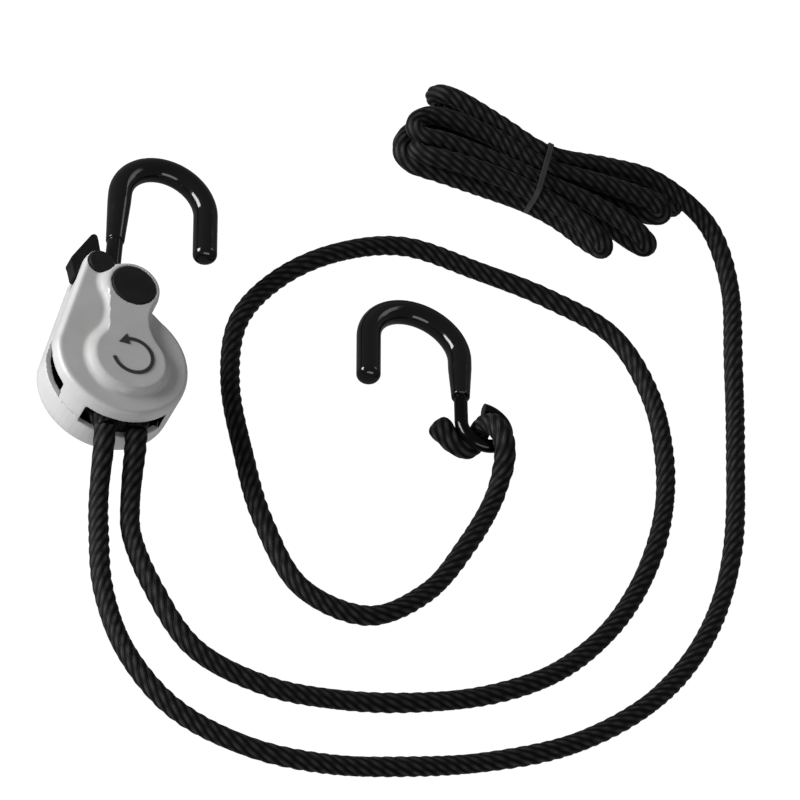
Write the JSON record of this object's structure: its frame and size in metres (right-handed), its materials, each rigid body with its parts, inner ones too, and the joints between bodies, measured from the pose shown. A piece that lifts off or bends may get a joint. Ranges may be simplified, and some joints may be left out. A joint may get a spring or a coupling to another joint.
{
  "type": "ratcheting rope pulley block",
  "caption": "Ratcheting rope pulley block with a coated swing hook, a braided rope over its sheave to a second hook, and a tied hank of spare rope.",
  "frame": {"origin": "on the sheave axle's axis, in the plane of the block's rear face, which is the surface that the block, the rope and the second hook lie on", "axes": "+Z along the sheave axle, out of the block's front face; +Y from the sheave axle towards the hook axle and the block's hook; +X to the right of the block seen from the front"},
  "size_m": [0.2639, 0.3133, 0.0284],
  "materials": {
    "housing": "satin silver-grey paint on a die casting",
    "black_cap": "satin black",
    "steel": "plain steel",
    "hook_steel": "bright zinc-plated wire",
    "vinyl": "glossy dipped vinyl",
    "rope": "matte black braid",
    "tie": "dark grey strip",
    "sheave": "black moulding",
    "lever": "satin black moulding",
    "brass": "plain",
    "mark": "thin dark print"
  },
  "bodies": {
    "block": {"rear_shell": "housing", "front_shell": "housing", "sheave_axle": "steel", "hook_axle": "steel", "lever_pin": "steel", "front_hook_cap": "black_cap", "rear_hook_cap": "black_cap", "front_lever_cap": "black_cap", "rear_lever_cap": "black_cap", "rope_divider": "black_cap", "shell_screws": "steel", "thrust_washers": "brass", "turn_mark": "mark", "hook_spacers": "black_cap", "rope_wrap": "rope", "pull_rope": "rope", "rope_hank": "rope", "hank_tie": "tie", "load_rope": "rope", "rope_knot": "rope", "knot_end": "rope"},
    "sheave": {"sheave_front_cheek": "sheave", "sheave_rear_cheek": "sheave", "ratchet_wheel": "steel", "sheave_bush": "brass", "sheave_rivets": "steel"},
    "lever": {"release_lever": "lever", "pawl_arm": "steel", "lever_spring": "steel"},
    "hook": {"hook_wire": "hook_steel", "hook_coating": "vinyl"},
    "load_hook": {"load_hook_wire": "hook_steel", "load_hook_coating": "vinyl"}
  },
  "joints": [
    {"name": "sheave_spin", "type": "hinge", "parent": "block", "child": "sheave", "pos_m": [0, 0, 0.016], "axis": [0, 0, 1], "continuous": true},
    {"name": "release_lever", "type": "hinge", "parent": "block", "child": "lever", "pos_m": [-0.011, 0.0398, 0.014], "axis": [0, 0, 1], "range_deg": [-6, 0], "stiffness_Nm_per_rad": 0.03, "springref_deg": 17.19},
    {"name": "hook_swing", "type": "hinge", "parent": "block", "child": "hook", "pos_m": [0.0008, 0.0318, 0.016], "axis": [0, 0, 1], "range_deg": [-75, 3]},
    {"name": "load_hook_swing", "type": "hinge", "parent": "block", "child": "load_hook", "pos_m": [0.1383, 0.0315, 0.0089], "axis": [-0.0035, 0.101, 0.9949], "range_deg": [-15, 15]}
  ]
}
